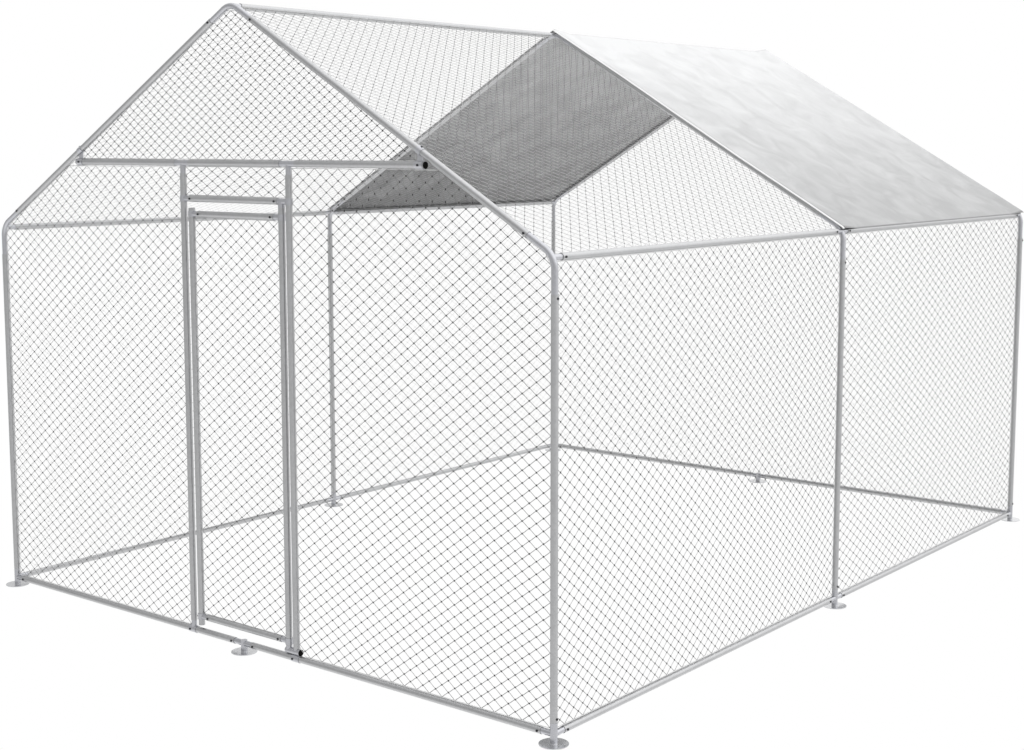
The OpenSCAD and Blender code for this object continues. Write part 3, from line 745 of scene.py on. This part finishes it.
class CHICKEN_RUN_OT_front_nets(bpy.types.Operator):
    """String the front netting: both sides of the door, over the door and in the gable"""

    bl_idname = "chicken_run.front_nets"
    bl_label = "String Front Nets"

    def execute(self, context):
        sizes = context.scene.chicken_run.sizes
        right_jamb, left_jamb = middle("right_jamb").x, middle("left_jamb").x
        header = middle("door_header").z
        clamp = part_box("crossbar_clamps")[1].x - CLAMP_REACH
        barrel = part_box("hinge_foot")[1].x + BARREL_ROOM
        sill = net_edge(0, BASE_Z, -90, SLEEVE_BACK)
        under_crossbar = net_edge(0, CROSSBAR_Z, 90, SLEEVE_BACK)
        net_edges = {
            "netting_front_left": [
                sill,
                net_edge(left_jamb, 0, 0, SLEEVE_BACK),
                under_crossbar,
                LEFT_RAFTER,
                LEFT_ELBOW,
                LEFT_POST,
            ],
            "netting_front_right": [
                sill,
                RIGHT_POST,
                RIGHT_ELBOW,
                RIGHT_RAFTER,
                under_crossbar,
                net_edge(right_jamb, 0, 180, SLEEVE_BACK),
                net_edge(barrel, BARREL_CUT_Z, 225, EDGE_ROOM),
            ],
            "netting_transom": rectangle(left_jamb, header, right_jamb, CROSSBAR_Z, BACK),
            "netting_gable": [
                net_edge(0, CROSSBAR_Z, -90, BACK),
                net_edge(clamp, 0, 0, EDGE_ROOM),
                RIGHT_RAFTER,
                APEX,
                LEFT_RAFTER,
                net_edge(-clamp, 0, 180, EDGE_ROOM),
            ],
        }
        for name, edges in net_edges.items():
            mesh = GABLE_MESH if name == "netting_gable" else FRONT_MESH
            add_net(name, edges, mesh, gable_plane(FRONT_Y), "frame", "front_nets", sizes)
        return {"FINISHED"}


class CHICKEN_RUN_OT_door_net(bpy.types.Operator):
    """String the netting in the door leaf"""

    bl_idname = "chicken_run.door_net"
    bl_label = "String Door Net"

    def execute(self, context):
        sizes = context.scene.chicken_run.sizes
        low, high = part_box("door_net")
        edges = rectangle(low.x, low.z, high.x, high.z, 0)
        place = gable_plane(FRONT_Y)
        add_net("netting_door", edges, FRONT_MESH, place, "door", "door_net", sizes)
        return {"FINISHED"}


class CHICKEN_RUN_OT_rear_net(bpy.types.Operator):
    """String the netting of the rear gable"""

    bl_idname = "chicken_run.rear_net"
    bl_label = "String Rear Net"

    def execute(self, context):
        sizes = context.scene.chicken_run.sizes
        edges = [
            net_edge(0, BASE_Z, -90, BACK),
            RIGHT_POST,
            RIGHT_ELBOW,
            RIGHT_RAFTER,
            APEX,
            LEFT_RAFTER,
            LEFT_ELBOW,
            LEFT_POST,
        ]
        add_net(
            "netting_rear", edges, FRONT_MESH, gable_plane(REAR_Y), "frame", "rear_net", sizes,
            fine=True, outside=Y_AXIS,
        )
        return {"FINISHED"}


class CHICKEN_RUN_OT_wall_nets(bpy.types.Operator):
    """String the netting of both long walls, one panel a bay"""

    bl_idname = "chicken_run.wall_nets"
    bl_label = "String Wall Nets"

    def execute(self, context):
        sizes = context.scene.chicken_run.sizes
        x = (HALF_W + EAVE_RAIL.x) / 2
        for hand, side in SIDES.items():
            for bay, (start, end) in BAYS.items():
                add_net(
                    f"netting_wall_{hand}_{bay}",
                    rectangle(start, BASE_Z, end, EAVE_RAIL.z, BACK), WALL_MESH[bay],
                    plane(X_AXIS * side * x, Y_AXIS, Z_AXIS), "frame", "wall_nets", sizes,
                    fine=hand == "left", outside=-X_AXIS if hand == "left" else None,
                    painted_gleam=WALL_PAINTED_GLEAM.get(hand, 0.0),
                )
        return {"FINISHED"}


class CHICKEN_RUN_OT_roof_nets(bpy.types.Operator):
    """String the netting of both roof slopes, one panel a bay"""

    bl_idname = "chicken_run.roof_nets"
    bl_label = "String Roof Nets"

    def execute(self, context):
        sizes = context.scene.chicken_run.sizes
        ridge_rail = Vector((0, 0, RIDGE_RAIL.z))
        for hand, side in SIDES.items():
            up = Vector((-side * math.cos(ROOF_PITCH), 0, math.sin(ROOF_PITCH)))
            out = Vector((side * math.sin(ROOF_PITCH), 0, math.cos(ROOF_PITCH)))
            eave = Vector((side * HALF_W, 0, EAVE_Z))
            low = (Vector((side * EAVE_RAIL.x, 0, EAVE_RAIL.z)) - eave).dot(up)
            high = (ridge_rail - eave).dot(up)
            drop = (ridge_rail - eave).dot(out) / 2
            for bay, (start, end) in BAYS.items():
                # The front rafters carry the sleeves of the crossbar's clamps
                front_back = SLEEVE_BACK if bay == "front" else BACK
                add_net(
                    f"netting_roof_{hand}_{bay}",
                    rectangle(start, low, end, high, BACK, front_back), ROOF_MESH,
                    plane(eave + out * drop, Y_AXIS, up), "frame", "roof_nets", sizes,
                    fine=True, outside=out if (hand, bay) == ("left", "front") else None,
                    painted_gleam=ROOF_PAINTED_GLEAM.get((hand, bay), 0.0),
                )
        return {"FINISHED"}


def spread(start, stop, steps):
    """Evenly spaced numbers from start to stop, both included."""
    return [start + (stop - start) * i / steps for i in range(steps + 1)]


def eave_columns(tangent, radius):
    """Places across the tarp, from eave to eave along the slopes, closer round the eave rails."""
    bend = [tangent + radius * math.radians(a) for a in spread(0, EDGE_WRAP, BEND_STEPS)[1:]]
    return [-s for s in reversed(bend)] + spread(-tangent, tangent, SLOPE_STEPS) + bend


def rafter_rows(first, last, level, radius):
    """Places along the tarp, each with its height over the rafters' axes.

    The tarp is draped over the end rafters, and at its level between them.
    """
    leave = math.asin(radius / math.hypot(DRAPE, level)) - math.atan2(level, DRAPE)
    turn = spread(-math.radians(RAFTER_WRAP), leave, WRAP_STEPS)
    end = [(radius * math.sin(a), radius * math.cos(a)) for a in turn]
    y, height = end[-1]
    end += [
        (y + (DRAPE - y) * share, height + (level - height) * share)
        for share in (0.25, 0.5, 0.75)
    ]
    flat = [(y, level) for y in spread(first + DRAPE, last - DRAPE, LEVEL_STEPS)]
    return [(first + y, h) for y, h in end] + flat + [(last - y, h) for y, h in reversed(end)]


def crease_lift(slope, y, half_width, crease):
    """How high the creases lift the tarp at a place across it and along it.

    Long waves, slanting waves and small crumples add up. They fade at the ridge and at the eaves,
    where the tarp is held.
    """
    share = abs(slope) / half_width
    held = min(1.0, 6 * share, 9 * (1 - share) + 0.15)
    wave = noise.noise(Vector((slope * 1.1, y * 5.5, 0.3)))
    wave += 0.6 * noise.noise(Vector((slope * 2.3 + 0.7 * y, y * 11.0, 1.7)))
    wave += 0.35 * noise.noise(Vector((slope * 9.0, y * 9.0 - 3 * slope, 4.1)))
    return held * crease * (wave * 0.6 + 0.25)


class CHICKEN_RUN_OT_tarp(bpy.types.Operator):
    """Lay the creased tarp over the ridge, the eaves and the end rafters of the rear bay"""

    bl_idname = "chicken_run.tarp"
    bl_label = "Lay Tarp"

    def execute(self, context):
        looks = context.scene.chicken_run
        weave = weave_group()
        over, under = looks.colours.tarp, looks.colours.tarp_under
        # Both sides get painted light: darker at the eaves, lighter at the ridge
        upper = tarp_material(
            "tarp_silver", weave, shade(over, 0.57), shade(over, 1.2), streaks=0.4, rough=0.5
        )
        lower = tarp_material(
            "tarp_underside", weave, shade(under, 0.36), shade(under, 1.1), streaks=0.6, rough=0.65
        )
        rise, reach = math.sin(ROOF_PITCH), math.cos(ROOF_PITCH)
        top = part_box("roof_tarp")[1].z - SHEET_DROP
        rail = Vector((EAVE_RAIL.x, 0, EAVE_RAIL.z))
        from_top = rail - Vector((0, 0, top))
        radius = -from_top.dot(Vector((rise, 0, reach)))
        tangent = from_top.dot(Vector((reach, 0, -rise)))
        columns = eave_columns(tangent, radius)
        level = (top - RIDGE_Z) * reach
        bend = TUBE_R + HEAD_ROOM + looks.sizes.tarp_thickness
        rows = rafter_rows(MID_Y, REAR_Y, level, bend)
        bm = bmesh.new()
        bmesh.ops.create_grid(
            bm, x_segments=len(columns) - 1, y_segments=len(rows) - 1, size=1.0
        )
        # Painted shade on the strip wrapped round the eave rails
        painted_hem_shade = bm.verts.layers.float.new("painted_hem_shade")
        rim = bm.verts.layers.float.new("rim")
        for v in bm.verts:
            slope = columns[round((v.co.x + 1) / 2 * (len(columns) - 1))]
            y, height = rows[round((v.co.y + 1) / 2 * (len(rows) - 1))]
            side = 1 if slope >= 0 else -1
            run = math.sqrt(slope * slope + RIDGE_FOLD * RIDGE_FOLD) - RIDGE_FOLD
            lift = crease_lift(slope, y, columns[-1], looks.sizes.crease) + height - level
            if run > tangent:
                turn = math.pi / 2 - ROOF_PITCH - (run - tangent) / radius
                out = Vector((side * math.cos(turn), 0, math.sin(turn)))
                flat = Vector((side * rail.x, y, rail.z)) + out * radius
                # This strip round the eave rail gets painted shade
                v[painted_hem_shade] = 1.0
            else:
                # On the ridge, the two slopes' outward directions meet in one upright one
                away = min(1.0, run / RIDGE_BLEND)
                out = Vector((side * away * rise, 0, away * reach + (1 - away) / reach))
                flat = Vector((side * run * reach, y, top - run * rise))
            # Painted highlight on the rims that lie over the end rafters
            v[rim] = 1.0 if y < MID_Y - RIM_HIGHLIGHT_START or y > REAR_Y + RIM_HIGHLIGHT_START else 0.0
            v.co = flat + out * lift
        bmesh.ops.recalc_face_normals(bm, faces=bm.faces[:])
        if sum(f.normal.z for f in bm.faces) < 0:
            bmesh.ops.reverse_faces(bm, faces=bm.faces[:])
        tarp = add_piece("silver_tarp", bm, [upper, lower], "frame", ["roof_tarp"])
        wall = tarp.modifiers.new("thickness", "SOLIDIFY")
        wall.thickness = looks.sizes.tarp_thickness
        wall.offset = -1.0
        wall.material_offset = 1
        return {"FINISHED"}


def add_light(name, place, target, size, power):
    """Soft square lamp that points at a target and shows in no reflection."""
    lamp = bpy.data.lights.new(name, "AREA")
    lamp.energy = power
    lamp.size = size
    obj = bpy.data.objects.new(name, lamp)
    obj.location = place
    obj.rotation_euler = (Vector(target) - Vector(place)).to_track_quat("-Z", "Y").to_euler()
    obj.visible_glossy = False
    bpy.context.scene.collection.objects.link(obj)


def studio_world():
    """White room, brightest above to the rear right, over a pale ground that blends into it."""
    world = bpy.data.worlds.new("studio")
    world.use_nodes = True
    tree = world.node_tree
    direction = tree.nodes.new("ShaderNodeTexCoord").outputs["Generated"]
    facing = add_node(tree, "ShaderNodeVectorMath", operation="DOT_PRODUCT")
    feed(tree, facing, {0: direction, 1: BRIGHT_SIDE})
    sky = add_node(
        tree, "ShaderNodeMapRange", interpolation_type="SMOOTHSTEP", Value=facing.outputs["Value"],
        From_Min=0.0, From_Max=1.05, To_Min=0.62, To_Max=1.9,
    )
    place = add_node(tree, "ShaderNodeSeparateXYZ", Vector=direction)
    room = add_node(
        tree, "ShaderNodeMapRange", interpolation_type="SMOOTHSTEP", Value=place.outputs["Z"],
        From_Min=-0.8, From_Max=0.15, To_Min=1.35, To_Max=sky.outputs["Result"],
    )
    # What the camera sees behind the run stays white all round
    path = tree.nodes.new("ShaderNodeLightPath")
    feed(tree, tree.nodes["Background"], {
        "Color": (1, 1, 1, 1),
        "Strength": mix(
            tree, "FLOAT", path.outputs["Is Camera Ray"], room.outputs["Result"], 1.0
        ),
    })
    return world


class CHICKEN_RUN_OT_stage(bpy.types.Operator):
    """Add the pale floor, the soft studio light and the camera"""

    bl_idname = "chicken_run.stage"
    bl_label = "Set Stage"

    def execute(self, context):
        scene = context.scene
        bm = bmesh.new()
        bmesh.ops.create_grid(bm, x_segments=1, y_segments=1, size=FLOOR_SIZE)
        mesh = bpy.data.meshes.new("pale_floor")
        bm.to_mesh(mesh)
        bm.free()
        material, tree, shader = new_material("pale_floor")
        feed(tree, shader, {
            "Base Color": (0, 0, 0, 1),
            "Roughness": 0.9,
            "Specular IOR Level": 0.0,
            "Emission Color": (1, 1, 1, 1),
            "Emission Strength": 1.0,
        })
        mesh.materials.append(material)
        floor = bpy.data.objects.new("pale_floor", mesh)
        # It lights nothing and shows in no reflection: the ground of the room does
        floor.visible_diffuse = floor.visible_glossy = False
        scene.collection.objects.link(floor)

        scene.world = studio_world()
        add_light("key", (8.0, -1.0, 8.0), (0, 0, 1.2), size=5.0, power=265.0)

        lens = bpy.data.cameras.new("camera")
        lens.sensor_width = SENSOR
        lens.lens = FOCAL / PICTURE_W * SENSOR
        lens.shift_x = SHIFT[0] / PICTURE_W
        lens.shift_y = SHIFT[1] / PICTURE_W
        lens.clip_end = VIEW_END
        camera = bpy.data.objects.new("camera", lens)
        camera.location = CAMERA_PLACE
        camera.rotation_euler = (math.radians(90 - CAMERA_DOWN), 0, math.radians(CAMERA_TURN))
        scene.collection.objects.link(camera)
        scene.camera = camera
        scene.view_settings.view_transform = "Standard"
        return {"FINISHED"}


OPERATORS = (
    CHICKEN_RUN_OT_stage,
    CHICKEN_RUN_OT_metal,
    CHICKEN_RUN_OT_front_nets,
    CHICKEN_RUN_OT_door_net,
    CHICKEN_RUN_OT_rear_net,
    CHICKEN_RUN_OT_wall_nets,
    CHICKEN_RUN_OT_roof_nets,
    CHICKEN_RUN_OT_tarp,
)


class VIEW3D_PT_chicken_run(bpy.types.Panel):
    """Lists the operators and the settings"""

    bl_label = "Chicken Run"
    bl_space_type = "VIEW_3D"
    bl_region_type = "UI"
    bl_category = "Chicken Run"

    def draw(self, context):
        for operator in OPERATORS:
            self.layout.operator(operator.bl_idname)
        for group in (context.scene.chicken_run.sizes, context.scene.chicken_run.colours):
            for key in group.__annotations__:
                self.layout.prop(group, key)


CLASSES = (RunSizes, RunColours, RunLooks, *OPERATORS, VIEW3D_PT_chicken_run)


def register():
    for cls in CLASSES:
        bpy.utils.register_class(cls)
    bpy.types.Scene.chicken_run = bpy.props.PointerProperty(type=RunLooks)


def unregister():
    del bpy.types.Scene.chicken_run
    for cls in reversed(CLASSES):
        bpy.utils.unregister_class(cls)


def main():
    register()
    bpy.ops.chicken_run.stage()
    bpy.ops.chicken_run.metal()
    bpy.ops.chicken_run.front_nets()
    bpy.ops.chicken_run.door_net()
    bpy.ops.chicken_run.rear_net()
    bpy.ops.chicken_run.wall_nets()
    bpy.ops.chicken_run.roof_nets()
    bpy.ops.chicken_run.tarp()


if __name__ == "__main__":
    main()
